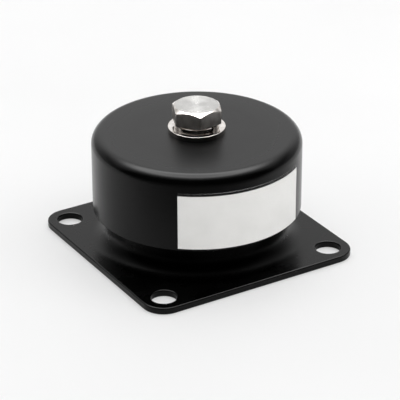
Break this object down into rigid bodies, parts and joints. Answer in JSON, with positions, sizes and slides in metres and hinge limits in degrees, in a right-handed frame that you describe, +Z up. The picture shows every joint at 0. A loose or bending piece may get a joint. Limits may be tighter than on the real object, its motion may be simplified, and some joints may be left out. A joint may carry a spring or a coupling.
{
  "type": "rubber anti-vibration mount",
  "caption": "Square-based rubber anti-vibration mount: drawn steel base, rubber bell on a turned core, round black cap and a top clamp bolt.",
  "frame": {"origin": "centre of the base plate's underside, on the mounting surface", "axes": "+Z up along the bolt, X and Y along the sides of the square plate, the label faces -Y"},
  "size_m": [0.065, 0.065, 0.0413],
  "materials": {
    "black_paint": "satin black stoving paint with a faint orange peel",
    "rubber": "matt moulded",
    "bright_steel": "bright plated, turned top",
    "plated_steel": "dull zinc plate",
    "label_white": "satin film label",
    "clear_film": "clear film over the label"
  },
  "bodies": {
    "base": {"base_plate": "black_paint", "rubber_bell": "rubber", "rebound_pad": "rubber"},
    "head": {"core": "plated_steel", "rebound_washer": "plated_steel", "cap": "black_paint", "flat_washer": "bright_steel", "spring_washer": "bright_steel", "hex_bolt": "bright_steel", "rating_label": "label_white", "label_film": "clear_film"}
  },
  "joints": [
    {"name": "deflection", "type": "slide", "parent": "base", "child": "head", "axis": [0, 0, -1], "range_m": [0, 0.005], "stiffness_N_per_m": 10000, "springref_m": -0.00013, "deforming": ["rubber_bell"]}
  ]
}
